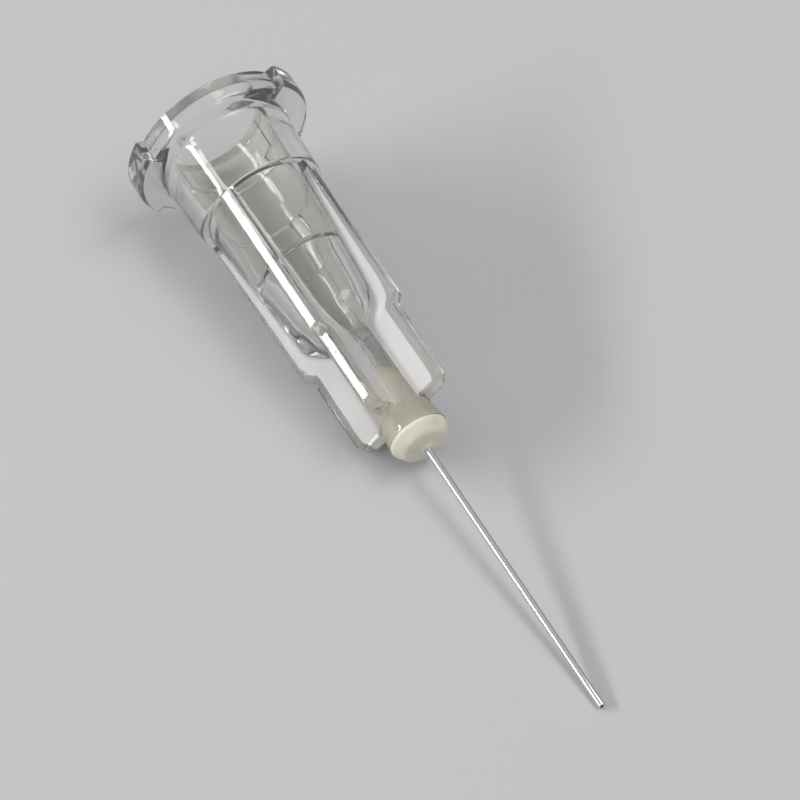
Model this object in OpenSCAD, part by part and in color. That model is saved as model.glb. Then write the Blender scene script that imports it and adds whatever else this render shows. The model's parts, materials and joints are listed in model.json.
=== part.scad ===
// Dispensing needle tip: a clear slip-fit hub with four fins, a thin blunt
// steel tube, and the bead of adhesive that bonds the tube into the nose.
// Sizes in millimetres. Sizes along the hub are measured from the open mouth.

/* [Flange] */
// Radius of the plain round part of the flange
flange_r = 3.5; // [3.2:0.05:3.7]
// Radius of the flange over its two lugs
lug_r = 3.88; // [3.75:0.01:4.2]
// Arc that each lug covers, in degrees
lug_arc = 70; // [50:1:86]
// Angle from a fin round to the middle of the nearest lug, in degrees
lug_turn = 60; // [44:1:66]
// Thickness of the flange at its rim
flange_t = 0.95; // [0.7:0.05:1.05]
// Width of the bevel on the front edge of the flange
flange_bevel = 0.18; // [0.06:0.02:0.24]
// Thickness of the flange where it meets the body
flange_root_t = 1.32; // [1.3:0.02:1.6]

/* [Body] */
// Radius of the body just in front of the flange
rear_r = 2.82; // [2.75:0.01:2.95]
// Radius at the front end of the rear segment
rear_front_r = 2.72; // [2.6:0.01:2.74]
// Length from the mouth to the front end of the rear segment
rear_len = 4.15; // [3.5:0.05:5.5]
// Radius of the body between the fins, at its rear end
body_r = 2.42; // [2.36:0.01:2.5]
// Radius of the body between the fins, at its front end
body_front_r = 1.98; // [1.8:0.01:2.1]
// Length from the mouth to the start of the rounded shoulder
body_len = 10.3; // [9.6:0.1:10.9]
// Length of the rounded shoulder down to the nose
shoulder_len = 1.4; // [1.1:0.05:1.6]

/* [Fins] */
// Thickness of a fin at its outer edge
fin_t = 0.62; // [0.5:0.01:0.7]
// Thickness of a fin at the axis
fin_root_t = 0.8; // [0.72:0.01:0.9]
// Distance from the axis to a fin's outer edge, behind the step
fin_r = 2.69; // [2.6:0.01:2.75]
// Distance from the axis to a fin's outer edge, in front of the step
fin_front_r = 2.37; // [2.2:0.01:2.5]
// Length from the mouth to the top of the step
fin_step = 11.4; // [10.5:0.1:12.2]
// Length of the sloped step
fin_step_len = 0.4; // [0.2:0.05:0.6]
// Length from the mouth to the front ends of the fins
fin_len = 15.7; // [15:0.1:16]
// Radius of the rounded front corner of a fin
fin_corner_r = 0.55; // [0.3:0.05:0.8]
// Bevel along the outer edges of a fin
fin_bevel = 0.1; // [0.04:0.01:0.14]

/* [Nose] */
// Radius of the nose at the shoulder
nose_r = 1.05; // [0.98:0.01:1.12]
// Radius of the nose where the fins end
nose_front_r = 1.13; // [1.05:0.01:1.18]
// Radius of the nose at its flared front end
nose_tip_r = 1.28; // [1.2:0.01:1.4]
// Length of the nose in front of the fins
nose_front_len = 1.0; // [0.6:0.05:1.6]

/* [Socket] */
// Radius of the tapered socket at the mouth
socket_r = 2.15; // [2.1:0.01:2.2]
// Depth of the tapered socket
socket_len = 7.5; // [7:0.1:8]
// Change of the socket's diameter for each unit of depth
socket_taper = 0.06; // [0.05:0.005:0.07]

/* [Chamber] */
// Radius of the inner chamber at the bottom of the socket
chamber_r = 1.3; // [1.1:0.02:1.5]
// Radius of the inner chamber where its rounded end begins
chamber_front_r = 1.1; // [0.9:0.02:1.08]
// Length from the mouth to the start of the chamber's rounded end
chamber_len = 10.2; // [9.4:0.1:10.4]
// Length of the chamber's rounded end
chamber_end_len = 1.1; // [0.8:0.05:1.2]

/* [Adhesive] */
// Radius of the passage that guides the tube through the nose
guide_r = 0.18; // [0.17:0.005:0.21]
// Depth of the adhesive funnel behind the front end of the nose
funnel_len = 3.3; // [2.6:0.1:3.8]
// Length of the funnel's steep part
funnel_cone_len = 0.8; // [0.5:0.05:1.2]
// Radius of the funnel at the end of its steep part
funnel_r = 0.72; // [0.6:0.01:0.8]
// Radius of the funnel at the front end of the nose
funnel_front_r = 1.02; // [0.9:0.01:1.08]
// Radius of the bead against the front end of the nose
bead_r = 1.25; // [1.15:0.01:1.27]
// Radius of the bead's flat front
bead_front_r = 0.98; // [0.8:0.01:1.1]
// Height of the bead's outer edge
bead_rim_len = 0.16; // [0.08:0.02:0.24]
// Height of the bead's sloping part
bead_len = 0.46; // [0.3:0.02:0.6]
// Radius of the small fillet of adhesive round the tube
nub_r = 0.32; // [0.24:0.01:0.4]
// Height of the small fillet of adhesive round the tube
nub_len = 0.16; // [0.1:0.02:0.3]

/* [Steel tube] */
// Outer radius of the steel tube
tube_r = 0.155; // [0.12:0.005:0.162]
// Radius of the bore of the steel tube
tube_bore_r = 0.08; // [0.05:0.005:0.1]
// Length of tube that stands out of the bead
tube_free_len = 13.4; // [6:0.1:25]
// Length from the mouth to the rear end of the tube
tube_start = 11.5; // [11.5:0.1:12.6]

/* [Hidden] */
$fn = 96;
over = 0.5;
nose_len = fin_len + nose_front_len;
funnel_start = nose_len - funnel_len;
fin_side_t = 2 * fin_root_t;
bead_top = nose_len + bead_rim_len + bead_len;
tube_end = bead_top + nub_len + tube_free_len;
shoulder_start = body_len;
shoulder_end = body_len + shoulder_len;
chamber_end = chamber_len + chamber_end_len;
socket_end_r = socket_r - socket_taper * socket_len / 2;
fin_half = fin_t / 2;

// The part lies on the front edge of its flange and on the end of the tube,
// rolled until the bevelled edge of one lower fin also touches. That edge has
// two lines, and the one that touches first sets the roll.
pitch = atan((flange_r - tube_r) / (tube_end - flange_t));
fin_low_z = fin_len - fin_corner_r;
edge_z = [fin_low_z,
    fin_low_z + sqrt(pow(fin_corner_r, 2) - pow(fin_corner_r - fin_bevel, 2))];
edge_at = [[fin_front_r, fin_half - fin_bevel],
    [fin_front_r - fin_bevel, fin_half]];
edge_roll = [for (i = [0, 1])
    45 - atan(edge_at[i][1] / edge_at[i][0])
        - acos(min(1, (flange_r - (edge_z[i] - flange_t) * tan(pitch))
            / norm(edge_at[i])))];
roll = max(0, min(edge_roll));
lift = flange_r * cos(pitch) + flange_t * sin(pitch);

// Turns the part from its own axis (mouth at 0, tube along +Z) to how it lies
module lie() {
    translate([-(tube_end * cos(pitch) + (tube_r - flange_r) * sin(pitch)) / 2,
        0, lift])
        rotate([0, 90 + pitch, 0])
            rotate([0, 0, 45 - roll])
                children();
}

// Circular cone or cylinder between two heights
module ring_cone(z0, z1, r0, r1) {
    translate([0, 0, z0]) cylinder(h = z1 - z0, r1 = r0, r2 = r1);
}

// One lug: a short arc of the flange with a larger radius
module lug() {
    rotate([0, 0, lug_turn - lug_arc / 2])
        rotate_extrude(angle = lug_arc)
            polygon([
                [flange_r - over, 0],
                [lug_r, 0],
                [lug_r, flange_t - 0.12],
                [lug_r - 0.12, flange_t],
                [flange_r - over, flange_t + 0.1]
            ]);
}

// Two opposite fins as one plate through the axis, tapered in thickness
module fin_section(r) {
    polygon([
        [0, -fin_root_t / 2],
        [r - fin_bevel, -fin_half],
        [r, -fin_half + fin_bevel],
        [r, fin_half - fin_bevel],
        [r - fin_bevel, fin_half],
        [0, fin_root_t / 2],
        [-r + fin_bevel, fin_half],
        [-r, fin_half - fin_bevel],
        [-r, -fin_half + fin_bevel],
        [-r + fin_bevel, -fin_half]
    ]);
}

// Side outline of the front part of a fin pair, with rounded front corners
module fin_front_side() {
    c = fin_front_r - fin_corner_r;
    translate([-fin_front_r - 1, rear_len])
        square([2 * fin_front_r + 2, fin_low_z - rear_len]);
    translate([-c, fin_low_z - over]) square([2 * c, fin_corner_r + over]);
    for (s = [-1, 1]) translate([s * c, fin_low_z]) circle(r = fin_corner_r);
}

module fin_pair() {
    intersection() {
        linear_extrude(height = fin_len + 1) fin_section(fin_front_r);
        rotate([90, 0, 0]) linear_extrude(height = fin_side_t, center = true)
            fin_front_side();
    }
    intersection() {
        linear_extrude(height = fin_len + 1) fin_section(fin_r);
        rotate([90, 0, 0]) linear_extrude(height = fin_side_t, center = true)
            polygon([
                [-fin_r - 1, rear_len - over],
                [fin_r + 1, rear_len - over],
                [fin_r + 1, fin_step - fin_step_len],
                [fin_r, fin_step],
                [fin_front_r - fin_bevel, fin_step + fin_step_len],
                [-fin_front_r + fin_bevel, fin_step + fin_step_len],
                [-fin_r, fin_step],
                [-fin_r - 1, fin_step - fin_step_len]
            ]);
    }
}

// Outside of the body: rear segment, cone between the fins, shoulder, nose
module hub_outside() {
    ring_cone(0, flange_t, flange_r, flange_r);
    ring_cone(flange_t, flange_t + flange_bevel, flange_r,
        flange_r - flange_bevel);
    ring_cone(flange_t + flange_bevel, flange_root_t,
        flange_r - flange_bevel, rear_r);
    ring_cone(0, rear_len, rear_r + 0.02, rear_front_r);
    ring_cone(rear_len - over, body_len, body_r + 0.02, body_front_r);
    ring_cone(body_len, body_len + shoulder_len * 0.5, body_front_r,
        body_front_r - 0.28);
    ring_cone(body_len + shoulder_len * 0.5, shoulder_end,
        body_front_r - 0.28, nose_r);
    ring_cone(body_len, fin_len, nose_r, nose_front_r);
    ring_cone(fin_len, nose_len, nose_front_r, nose_tip_r);
    lug();
    rotate([0, 0, 180]) lug();
}

// Hollows: tapered socket, round-ended chamber, tube passage, glue funnel
module hub_inside() {
    ring_cone(-over, socket_len, socket_r + socket_taper * over / 2,
        socket_end_r);
    ring_cone(socket_len - over, chamber_len, chamber_r, chamber_front_r);
    intersection() {
        translate([0, 0, chamber_len])
            scale([1, 1, chamber_end_len / chamber_front_r])
                sphere(r = chamber_front_r);
        ring_cone(chamber_len - 0.1, chamber_end + 1, 2, 2);
    }
    ring_cone(chamber_len, funnel_start + over, guide_r, guide_r);
    ring_cone(funnel_start, funnel_start + funnel_cone_len, guide_r,
        funnel_r);
    ring_cone(funnel_start + funnel_cone_len, nose_len, funnel_r,
        funnel_front_r);
    ring_cone(nose_len, nose_len + over, funnel_front_r, funnel_front_r);
}

// Clear moulded hub
module hub() {
    color([0.78, 0.77, 0.75, 0.4]) lie() difference() {
        union() {
            hub_outside();
            fin_pair();
            rotate([0, 0, 90]) fin_pair();
        }
        hub_inside();
    }
}

// Thin drawn steel tube with a square-cut end
module cannula() {
    color([0.78, 0.79, 0.80]) lie() difference() {
        ring_cone(tube_start, tube_end, tube_r, tube_r);
        ring_cone(tube_start - over, tube_end + over, tube_bore_r,
            tube_bore_r);
    }
}

// Cured adhesive: fills the funnel and stands out of the nose as a bead
module adhesive() {
    color([0.88, 0.86, 0.78]) lie() difference() {
        union() {
            ring_cone(funnel_start, funnel_start + funnel_cone_len,
                guide_r, funnel_r);
            ring_cone(funnel_start + funnel_cone_len, nose_len, funnel_r,
                funnel_front_r);
            ring_cone(nose_len, nose_len + bead_rim_len, bead_r,
                bead_r - 0.03);
            ring_cone(nose_len + bead_rim_len, bead_top, bead_r - 0.03,
                bead_front_r);
            ring_cone(bead_top, bead_top + nub_len, nub_r, tube_r + 0.02);
        }
        ring_cone(funnel_start - over, bead_top + nub_len + over, tube_r,
            tube_r);
    }
}

hub();
cannula();
adhesive();
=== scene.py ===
import json
import math
import bpy
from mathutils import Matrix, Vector


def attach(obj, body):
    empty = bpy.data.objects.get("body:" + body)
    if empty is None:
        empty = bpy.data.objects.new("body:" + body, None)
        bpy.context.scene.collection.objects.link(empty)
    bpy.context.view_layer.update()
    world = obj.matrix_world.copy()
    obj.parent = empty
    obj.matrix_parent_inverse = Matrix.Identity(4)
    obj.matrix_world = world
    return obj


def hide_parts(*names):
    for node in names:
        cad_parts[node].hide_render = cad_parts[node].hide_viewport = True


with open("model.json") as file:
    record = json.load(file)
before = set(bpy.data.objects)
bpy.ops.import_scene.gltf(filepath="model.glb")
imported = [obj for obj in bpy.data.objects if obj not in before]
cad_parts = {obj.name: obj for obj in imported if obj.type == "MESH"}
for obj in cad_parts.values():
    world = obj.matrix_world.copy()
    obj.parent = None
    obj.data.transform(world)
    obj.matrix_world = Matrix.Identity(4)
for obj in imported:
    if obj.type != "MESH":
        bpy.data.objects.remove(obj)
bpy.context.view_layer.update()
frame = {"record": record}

# --- Clear hub -------------------------------------------------------------
# One injection moulding in clear polypropylene: a lugged flange, a tapered
# socket, four fins and a slim nose. Polished all over, but for the finely
# grained fields on the sides of the fins. All lengths are from the mouth.

MM = 0.001
SOCKET = frame["record"]["mounts"][0]
MOUTH = Vector(SOCKET["pos_m"])
AXIS = -Vector(SOCKET["axis"]).normalized()
SIDE = Vector((0.0, 1.0, 0.0))
DOWN = AXIS.cross(SIDE) * -1.0
if DOWN.z > 0:
    DOWN.negate()
ROLL = 2.27  # degrees the part rolls before a lower fin touches the floor
FIN_TURN = math.radians(45.0 - ROLL)  # from straight down to the first fin


def linear(hex_colour):
    """sRGB hex colour as linear RGBA."""
    parts = [int(hex_colour[i:i + 2], 16) / 255 for i in (1, 3, 5)]
    return [c / 12.92 if c <= 0.04045 else ((c + 0.055) / 1.055) ** 2.4
            for c in parts] + [1.0]


def place(r, turn, z):
    """Row-frame point at radius r, angle turn and length z, in mm."""
    a = turn + FIN_TURN
    return MOUTH + (AXIS * z + DOWN * (r * math.cos(a))
                    + SIDE * (r * math.sin(a))) * MM


def new_material(name):
    material = bpy.data.materials.new(name)
    material.use_nodes = True
    tree = material.node_tree
    return material, tree, tree.nodes["Principled BSDF"]


def add_node(tree, kind, settings=None, links=None):
    """Adds a node, sets sockets or properties by name, and links inputs."""
    node = tree.nodes.new(kind)
    for key, value in (settings or {}).items():
        if key in node.inputs:
            node.inputs[key].default_value = value
        else:
            setattr(node, key, value)
    for key, source in (links or {}).items():
        tree.links.new(source, node.inputs[key])
    return node


def make_object(name, points, faces, material, smooth_deg=28.0):
    mesh = bpy.data.meshes.new(name)
    mesh.from_pydata([tuple(p) for p in points], [], faces)
    mesh.materials.append(material)
    mesh.shade_smooth()
    mesh.set_sharp_from_angle(angle=math.radians(smooth_deg))
    obj = bpy.data.objects.new(name, mesh)
    bpy.context.collection.objects.link(obj)
    return obj


def ring_faces(rings, count, close):
    """Quads between rings of count points each."""
    faces = []
    pairs = rings if close else rings - 1
    for k in range(pairs):
        a, b = k * count, ((k + 1) % rings) * count
        for i in range(count):
            j = (i + 1) % count
            faces.append((a + i, a + j, b + j, b + i))
    return faces


# Fin sizes: half thickness at the edge and at the axis, edge radius.
EDGE_HALF, ROOT_HALF, EDGE_ROUND = 0.31, 0.40, 0.10
OUT_N, ROUND_N, WALL_N, FILLET_N, ARC_N = 3, 4, 8, 4, 12
FILLET = 0.16
EDGE_AT = 2.6  # radius at which a fin is down to its edge thickness


def fin_contour(body, reach, trim=0.0):
    """Half a quadrant, from a fin's middle to the middle of the gap, as
    (radius, angle) pairs. reach is the fin's outer radius."""
    tip = reach - trim
    half = EDGE_HALF - trim

    def wall_half(x):
        return ROOT_HALF + (EDGE_HALF - ROOT_HALF) * x / EDGE_AT - trim
    points = []
    for i in range(OUT_N):
        points.append((tip, (half - EDGE_ROUND) * i / OUT_N))
    for i in range(ROUND_N):
        t = math.pi / 2 * i / (ROUND_N - 1)
        points.append((tip - EDGE_ROUND + EDGE_ROUND * math.cos(t),
                       half - EDGE_ROUND + EDGE_ROUND * math.sin(t)))
    foot_y = wall_half(body) + FILLET
    foot = math.sqrt(max(body * body - foot_y * foot_y, 0.01))
    x0, x1 = tip - EDGE_ROUND, min(foot + FILLET, tip - EDGE_ROUND - 0.02)
    for i in range(1, WALL_N + 1):
        x = x0 + (x1 - x0) * i / WALL_N
        points.append((x, wall_half(x)))
    end_angle = math.atan2(foot_y, foot)
    for i in range(1, FILLET_N + 1):
        t = i / FILLET_N
        x = x1 + (foot - x1) * (1 - (1 - t) ** 1.8)
        y = wall_half(x1) + (foot_y - wall_half(x1)) * t ** 1.8
        points.append((x, y))
    polar = [(math.hypot(x, y), math.atan2(y, x)) for x, y in points]
    for i in range(1, ARC_N + 1):
        t = i / ARC_N
        polar.append((body, end_angle + (math.pi / 4 - end_angle) * t))
    return polar


def full_turn(half):
    """Eight mirrored copies of half a quadrant, as one closed ring."""
    ring = []
    for quadrant in range(4):
        base = quadrant * math.pi / 2
        ring += [(r, base + a) for r, a in half[:-1]]
        ring += [(r, base + math.pi / 2 - a) for r, a in reversed(half[1:])]
    return ring


FIN_ANGLES = [a for _, a in full_turn(fin_contour(2.3, EDGE_AT))]
COUNT = len(FIN_ANGLES)
FLANGE_R, LUG_R, LUG_TURN, LUG_ARC = 3.49, 3.87, 60.0, 70.0
LUG_SOFT = 0.75  # half the arc over which a lug's end rises, in degrees


def lug_angles():
    """Angles for the flange rings, with points kept at the ends of lugs."""
    marks = []
    for middle in (LUG_TURN, LUG_TURN + 180.0):
        for sign in (-1, 1):
            edge = middle + sign * LUG_ARC / 2
            marks += [edge + d for d in (-0.9, -0.7, -0.3, 0.3, 0.7, 0.9)]
    marks = sorted(marks)
    spare = COUNT - len(marks)
    spans = []
    for i, mark in enumerate(marks):
        gap = (marks[(i + 1) % len(marks)] - mark) % 360.0
        spans.append(gap if gap > 1.0 else 0.0)
    total = sum(spans)
    counts = [int(round(spare * s / total)) for s in spans]
    counts[spans.index(max(spans))] += spare - sum(counts)
    angles = []
    for mark, count, gap in zip(marks, counts, spans):
        angles.append(mark)
        angles += [mark + gap * (i + 1) / (count + 1) for i in range(count)]
    angles = sorted(a % 360.0 for a in angles)
    return [math.radians(a) for a in angles]


FLANGE_ANGLES = lug_angles()


def lug_weight(angle):
    """0 on the plain round part of the flange and 1 on a lug."""
    best = 0.0
    for middle in (LUG_TURN, LUG_TURN + 180.0):
        off = abs((math.degrees(angle) - middle + 180.0) % 360.0 - 180.0)
        t = (LUG_ARC / 2 + LUG_SOFT - off) / (2 * LUG_SOFT)
        t = min(max(t, 0.0), 1.0)
        best = max(best, t * t * (3 - 2 * t))
    return best


def flange_ring(z, inset, lug_drop=0.0):
    """Ring round the flange, inset from its edge. A lug is lug_drop lower."""
    ring = []
    for a in FLANGE_ANGLES:
        w = lug_weight(a)
        r = FLANGE_R + (LUG_R - FLANGE_R) * w - inset
        ring.append((r, a, z - lug_drop * w))
    return ring


def round_ring(r, z, blend=0.0):
    """Plain circle. blend 0 keeps the flange's angles, 1 the fins'."""
    ring = []
    for a, b in zip(FLANGE_ANGLES, FIN_ANGLES):
        ring.append((r, a + (b - a) * blend, z))
    return ring


def fin_ring(body, reach, z, trim=0.0):
    return [(r, a, z) for r, a in full_turn(fin_contour(body, reach, trim))]


# Outer radius of the fins behind and in front of the step, and where the
# step and the rounded front corner lie.
FIN_R, FIN_FRONT_R, STEP_FROM, STEP_TO = 2.69, 2.37, 11.36, 11.74
CORNER_FROM, CORNER_R = 15.15, 0.55
# Radii of the body and the nose at their two ends, and where those lie.
BODY_R, BODY_FRONT_R, NOSE_R, NOSE_FRONT_R = 2.42, 1.98, 1.05, 1.13
BODY_FROM, BODY_TO, NOSE_FROM, FINS_TO = 4.15, 10.3, 11.7, 15.7


def fin_reach(z):
    """Outer radius of the fins: step down, then rounded front corner."""
    if z <= STEP_FROM:
        return FIN_R
    if z < STEP_TO:
        t = (z - STEP_FROM) / (STEP_TO - STEP_FROM)
        return FIN_R - (FIN_R - FIN_FRONT_R) * t * t * (3 - 2 * t)
    if z <= CORNER_FROM:
        return FIN_FRONT_R
    return FIN_FRONT_R - CORNER_R + math.sqrt(
        max(CORNER_R ** 2 - (z - CORNER_FROM) ** 2, 0.0))


def body_radius(z):
    """Radius of the body between the fins, its shoulder and the nose."""
    if z <= BODY_TO:
        t = (z - BODY_FROM) / (BODY_TO - BODY_FROM)
        return BODY_R + (BODY_FRONT_R - BODY_R) * t
    if z <= NOSE_FROM:
        t = (z - BODY_TO) / (NOSE_FROM - BODY_TO)
        return NOSE_R + (BODY_FRONT_R - NOSE_R) * math.cos(t * math.pi / 2)
    t = (z - NOSE_FROM) / (FINS_TO - NOSE_FROM)
    return NOSE_R + (NOSE_FRONT_R - NOSE_R) * t


rings = []
for z, inset in ((0.0, 0.09), (0.006, 0.05), (0.028, 0.02), (0.07, 0.0)):
    rings.append(flange_ring(z, inset))
for z in (0.3, 0.6, 0.84):
    rings.append(flange_ring(z, 0.0, 0.05 * (z > 0.5)))
rings.append(flange_ring(0.93, 0.004, 0.10))
rings.append(flange_ring(0.99, 0.03, 0.06))
rings.append(flange_ring(1.10, 0.15, 0.02))
rings.append(round_ring(3.26, 1.155))
for r, z in ((3.05, 1.235), (2.95, 1.275), (2.88, 1.32), (2.835, 1.39),
             (2.815, 1.47)):
    rings.append(round_ring(r, z))
for i in range(10):
    t = (i + 1) / 10
    rings.append(round_ring(2.815 - 0.09 * t, 1.47 + 2.60 * t, t))
rings.append(round_ring(2.715, 4.115, 1.0))
rings.append(round_ring(2.69, 4.15, 1.0))
rings.append(fin_ring(2.50, FIN_R, 4.155))
rings.append(fin_ring(2.44, FIN_R, 4.18))
rings.append(fin_ring(2.418, FIN_R, 4.25))
first_fin = len(rings) - 1
heights = [4.6 + 0.4 * i for i in range(14)] + [10.1, 10.3]
heights += [10.3 + 0.1 * i for i in range(1, 15)] + [11.74]
heights += [11.39, 11.43, 11.47, 11.55, 11.63, 11.67]
heights += [12.1 + 0.4 * i for i in range(8)] + [CORNER_FROM]
heights += [CORNER_FROM + CORNER_R * math.sin(math.radians(d))
            for d in (12, 24, 36, 48, 58, 68, 78)]
for z in sorted(set(round(h, 4) for h in heights)):
    rings.append(fin_ring(body_radius(z), fin_reach(z), z))
last_fin = len(rings) - 1
rings.append(fin_ring(NOSE_FRONT_R, 1.88, 15.69, 0.012))
rings.append(fin_ring(NOSE_FRONT_R, 1.84, 15.70, 0.04))
rings.append(round_ring(1.17, 15.701, 1.0))
rings.append(round_ring(1.14, 15.72, 1.0))
for r, z in ((1.15, 15.80), (1.19, 16.1), (1.24, 16.4), (1.275, 16.62),
             (1.278, 16.66), (1.27, 16.69), (1.24, 16.70), (1.03, 16.70),
             (1.015, 16.68), (0.95, 16.1), (0.83, 15.1), (0.73, 14.3),
             (0.70, 14.18), (0.66, 14.12), (0.30, 13.53), (0.18, 13.38),
             (0.18, 13.2), (0.18, 12.4), (0.18, 11.5), (0.19, 11.36)):
    rings.append(round_ring(r, z, 1.0))
for d in range(80, -1, -8):
    a = math.radians(d)
    rings.append(round_ring(1.1 * math.cos(a), 10.2 + 1.1 * math.sin(a),
                            0.5 + d / 160))
for i in range(1, 6):
    rings.append(round_ring(1.1 + 0.2 * i / 5, 10.2 - 2.64 * i / 5,
                            0.5 - i / 20))
for r, z in ((1.32, 7.52), (1.36, 7.50), (1.87, 7.50), (1.915, 7.505),
             (1.925, 7.46)):
    rings.append(round_ring(r, z, 0.2))
for i in range(1, 9):
    t = i / 8
    rings.append(round_ring(1.926 + 0.222 * t, 7.42 - 7.34 * t, 0.2 * (1 - t)))
rings.append(round_ring(2.165, 0.03))
rings.append(round_ring(2.20, 0.0))
rings.append([((2.20 + r) / 2, a, 0.0) for r, a, _ in rings[0]])

clear, tree, shader = new_material("clear_polypropylene_polished")
# Clear polypropylene: slightly warm, a trace of haze, polished mould faces.
shader.inputs["Base Color"].default_value = linear("#F7F5F2")
shader.inputs["IOR"].default_value = 1.49
shader.inputs["Transmission Weight"].default_value = 0.95
coords = add_node(tree, "ShaderNodeTexCoord")
flow = add_node(tree, "ShaderNodeTexNoise", {"Scale": 420.0, "Detail": 3.0},
                {"Vector": coords.outputs["Object"]})
haze = add_node(tree, "ShaderNodeMapRange",
                {"To Min": 0.02, "To Max": 0.07},
                {"Value": flow.outputs["Fac"]})
tree.links.new(haze.outputs["Result"], shader.inputs["Roughness"])

grained, tree, shader = new_material("clear_polypropylene_grained")
# The same plastic against a finely eroded mould face, so it looks frosted.
shader.inputs["Base Color"].default_value = linear("#F4F2F0")
shader.inputs["IOR"].default_value = 1.49
shader.inputs["Transmission Weight"].default_value = 0.62
coords = add_node(tree, "ShaderNodeTexCoord")
grain = add_node(tree, "ShaderNodeTexNoise", {"Scale": 9000.0, "Detail": 2.0},
                 {"Vector": coords.outputs["Object"]})
frost = add_node(tree, "ShaderNodeMapRange",
                 {"To Min": 0.28, "To Max": 0.52},
                 {"Value": grain.outputs["Fac"]})
tree.links.new(frost.outputs["Result"], shader.inputs["Roughness"])
bump = add_node(tree, "ShaderNodeBump", {"Strength": 0.5,
                                         "Distance": 0.00002},
                {"Height": grain.outputs["Fac"]})
tree.links.new(bump.outputs["Normal"], shader.inputs["Normal"])

points = [place(r, a, z) for ring in rings for r, a, z in ring]
hub = make_object("hub_moulding", points, ring_faces(len(rings), COUNT, True),
                  clear, 24.0)
hub.data.materials.append(grained)
half_count = OUT_N + ROUND_N + WALL_N + FILLET_N + ARC_N
wall_from, wall_to = OUT_N + ROUND_N + 1, OUT_N + ROUND_N + WALL_N + 1
for polygon in hub.data.polygons:
    ring, index = divmod(polygon.index, COUNT)
    if first_fin + 1 <= ring < last_fin - 3:
        local = index % (2 * half_count - 2)
        local = min(local, 2 * half_count - 3 - local)
        if wall_from <= local < wall_to:
            polygon.material_index = 1
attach(hub, "root")
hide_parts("hub")

# --- Steel tube ------------------------------------------------------------
# Thin stainless tube, drawn and cut off square, with a plain round bore. It
# runs back through the adhesive and the nose to the end of the chamber.

TUBE_R, TUBE_BORE_R, TUBE_FROM, TUBE_TO = 0.154, 0.08, 11.5, 30.88
steel, tree, shader = new_material("stainless_steel_drawn_bright")
# Bright drawn stainless steel with faint lines along the tube.
shader.inputs["Base Color"].default_value = linear("#E4E4E6")
shader.inputs["Metallic"].default_value = 1.0
coords = add_node(tree, "ShaderNodeTexCoord")
stretch = add_node(tree, "ShaderNodeMapping",
                   {"Scale": (300.0, 9000.0, 9000.0)},
                   {"Vector": coords.outputs["Object"]})
lines = add_node(tree, "ShaderNodeTexNoise", {"Scale": 1.0, "Detail": 2.0},
                 {"Vector": stretch.outputs["Vector"]})
sheen = add_node(tree, "ShaderNodeMapRange",
                 {"To Min": 0.2, "To Max": 0.27},
                 {"Value": lines.outputs["Fac"]})
tree.links.new(sheen.outputs["Result"], shader.inputs["Roughness"])

TUBE_N = 48
profile = [(TUBE_R - 0.015, TUBE_FROM), (TUBE_R, TUBE_FROM + 0.015)]
profile += [(TUBE_R, TUBE_FROM + (TUBE_TO - TUBE_FROM) * i / 12)
            for i in range(1, 12)]
profile += [(TUBE_R, TUBE_TO - 0.02), (TUBE_R - 0.006, TUBE_TO - 0.005),
            (TUBE_R - 0.02, TUBE_TO), (TUBE_BORE_R + 0.008, TUBE_TO),
            (TUBE_BORE_R, TUBE_TO - 0.01), (TUBE_BORE_R, TUBE_FROM + 0.01),
            (TUBE_BORE_R + 0.01, TUBE_FROM)]
points = [place(r, 2 * math.pi * i / TUBE_N, z)
          for r, z in profile for i in range(TUBE_N)]
tube = make_object("steel_tube", points,
                   ring_faces(len(profile), TUBE_N, True), steel)
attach(tube, "root")
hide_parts("cannula")

# --- Adhesive --------------------------------------------------------------
# Cream epoxy, metered into the funnel of the nose and cured. It wets the
# clear wall, stands out as a low faceted bead, and creeps up the tube a bit.

WET = 0.012  # how far it is let into the clear wall, so the wall looks wetted
glue, tree, shader = new_material("epoxy_cream_cured_satin")
# Cured filled epoxy: cream, satin, slightly translucent, faint mottling.
shader.inputs["Subsurface Weight"].default_value = 0.25
shader.inputs["Subsurface Scale"].default_value = 0.0004
shader.inputs["Subsurface Radius"].default_value = (1.0, 0.8, 0.5)
coords = add_node(tree, "ShaderNodeTexCoord")
mottle = add_node(tree, "ShaderNodeTexNoise", {"Scale": 1400.0, "Detail": 4.0},
                  {"Vector": coords.outputs["Object"]})
tint = add_node(tree, "ShaderNodeValToRGB", None,
                {"Fac": mottle.outputs["Fac"]})
tint.color_ramp.elements[0].position = 0.35
tint.color_ramp.elements[0].color = linear("#E6E0CC")
tint.color_ramp.elements[1].position = 0.65
tint.color_ramp.elements[1].color = linear("#EFEADA")
tree.links.new(tint.outputs["Color"], shader.inputs["Base Color"])
satin = add_node(tree, "ShaderNodeMapRange", {"To Min": 0.32, "To Max": 0.5},
                 {"Value": mottle.outputs["Fac"]})
tree.links.new(satin.outputs["Result"], shader.inputs["Roughness"])
skin = add_node(tree, "ShaderNodeBump", {"Strength": 0.35,
                                         "Distance": 0.00003},
                {"Height": mottle.outputs["Fac"]})
tree.links.new(skin.outputs["Normal"], shader.inputs["Normal"])

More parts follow.
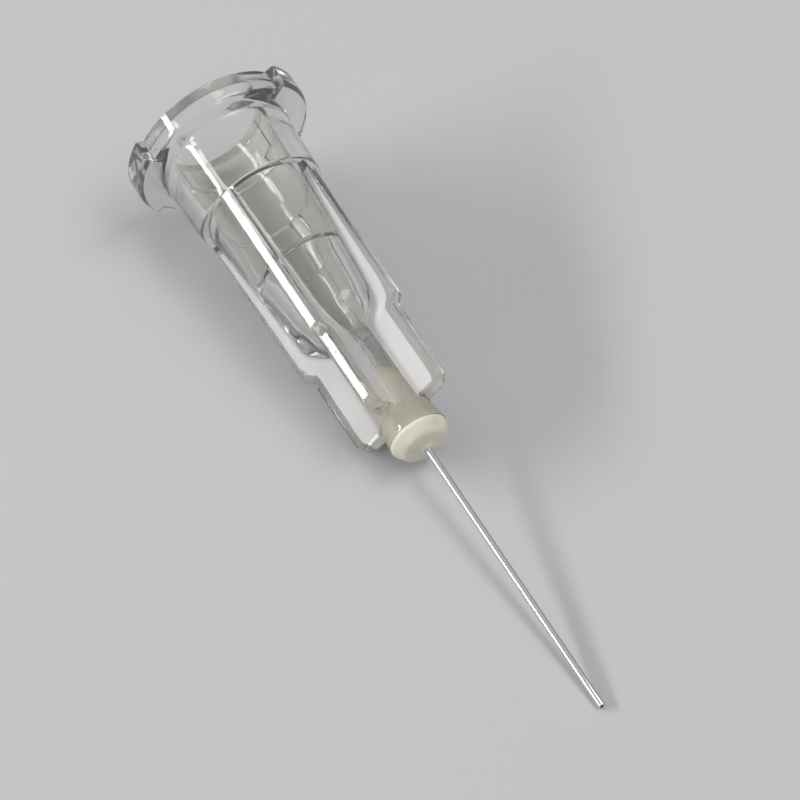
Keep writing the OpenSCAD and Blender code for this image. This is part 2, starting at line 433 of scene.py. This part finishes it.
GLUE_N = 96
profile = [(0.18 + WET, 13.39), (0.30 + WET, 13.52), (0.66 + WET, 14.11),
           (0.70 + WET, 14.17), (0.73 + WET, 14.3), (0.83 + WET, 15.1),
           (0.95 + WET, 16.1), (1.02 + WET, 16.69), (1.22, 16.692),
           (1.245, 16.72), (1.247, 16.80), (1.225, 16.87), (1.17, 16.95),
           (1.09, 17.08), (1.01, 17.20), (0.95, 17.265), (0.86, 17.30),
           (0.60, 17.325), (0.42, 17.345), (0.31, 17.37), (0.24, 17.41),
           (0.195, 17.46), (0.172, 17.478), (0.15, 17.478), (0.15, 13.39)]
points = []
for r, z in profile:
    for i in range(GLUE_N):
        a = 2 * math.pi * i / GLUE_N
        free = min(max((z - 16.8) / 0.3, 0.0), 1.0) * (r > 0.3)
        sag = 0.018 * free * math.sin(a + 0.8) + 0.008 * free * math.sin(3 * a)
        points.append(place(r - 0.012 * free + sag * 0.6, a, z + 0.3 * sag))
bead = make_object("adhesive_bead", points,
                   ring_faces(len(profile), GLUE_N, True), glue, 40.0)
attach(bead, "root")
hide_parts("adhesive")

# --- Floor, light and camera -----------------------------------------------
# A plain pale floor, a long narrow soft box beside the part, a broad one over
# it, and the camera, which looks down on the part from its front end.

floor_material, tree, shader = new_material("studio_floor_matte")
# Matte pale grey card.
shader.inputs["Base Color"].default_value = linear("#C4C5C6")
shader.inputs["Roughness"].default_value = 0.9
mesh = bpy.data.meshes.new("floor")
HALF = 0.6
mesh.from_pydata([(-HALF, -HALF, 0.0), (HALF, -HALF, 0.0),
                  (HALF, HALF, 0.0), (-HALF, HALF, 0.0)],
                 [], [(0, 1, 2, 3)])
mesh.materials.append(floor_material)
floor = bpy.data.objects.new("floor", mesh)
bpy.context.collection.objects.link(floor)


def aim(obj, target):
    obj.rotation_euler = (Vector(target) - obj.location).to_track_quat(
        "-Z", "Y").to_euler()


def soft_box(name, location, size_x, size_y, watts):
    lamp = bpy.data.lights.new(name, "AREA")
    lamp.shape = "RECTANGLE"
    lamp.size, lamp.size_y, lamp.energy = size_x, size_y, watts
    obj = bpy.data.objects.new(name, lamp)
    obj.location = location
    aim(obj, (0.0, 0.0, 0.0))
    bpy.context.collection.objects.link(obj)


soft_box("strip", (-0.120, -0.235, 0.125), 0.30, 0.035, 0.60)
soft_box("top", (0.06, 0.10, 0.28), 0.20, 0.12, 0.32)

world = bpy.data.worlds.new("studio")
bpy.context.scene.world = world
world.use_nodes = True
tree = world.node_tree
# Pale ceiling, darker walls: clear plastic shows its edges against them.
coords = add_node(tree, "ShaderNodeTexCoord")
height = add_node(tree, "ShaderNodeSeparateXYZ", None,
                  {"Vector": coords.outputs["Generated"]})
sky = add_node(tree, "ShaderNodeValToRGB", None,
               {"Fac": height.outputs["Z"]})
sky.color_ramp.elements[0].position = 0.05
sky.color_ramp.elements[0].color = linear("#5C5B5A")
sky.color_ramp.elements[1].position = 0.55
sky.color_ramp.elements[1].color = linear("#E4E6E8")
background = tree.nodes["Background"]
tree.links.new(sky.outputs["Color"], background.inputs["Color"])
background.inputs["Strength"].default_value = 0.58

CAMERA_AZIMUTH, CAMERA_ELEVATION = math.radians(60.2), math.radians(49.5)
CAMERA_DISTANCE, CAMERA_LENS = 0.30, 345.0
camera = bpy.data.objects.new("camera", bpy.data.cameras.new("camera"))
camera.data.lens = CAMERA_LENS
camera.data.clip_start = 0.01
target = Vector((0.0, 0.0, 0.0024))
camera.location = target + CAMERA_DISTANCE * Vector((
    math.sin(CAMERA_AZIMUTH) * math.cos(CAMERA_ELEVATION),
    -math.cos(CAMERA_AZIMUTH) * math.cos(CAMERA_ELEVATION),
    math.sin(CAMERA_ELEVATION)))
aim(camera, target)
bpy.context.collection.objects.link(camera)
bpy.context.scene.camera = camera

scene = bpy.context.scene
scene.view_settings.view_transform = "Standard"
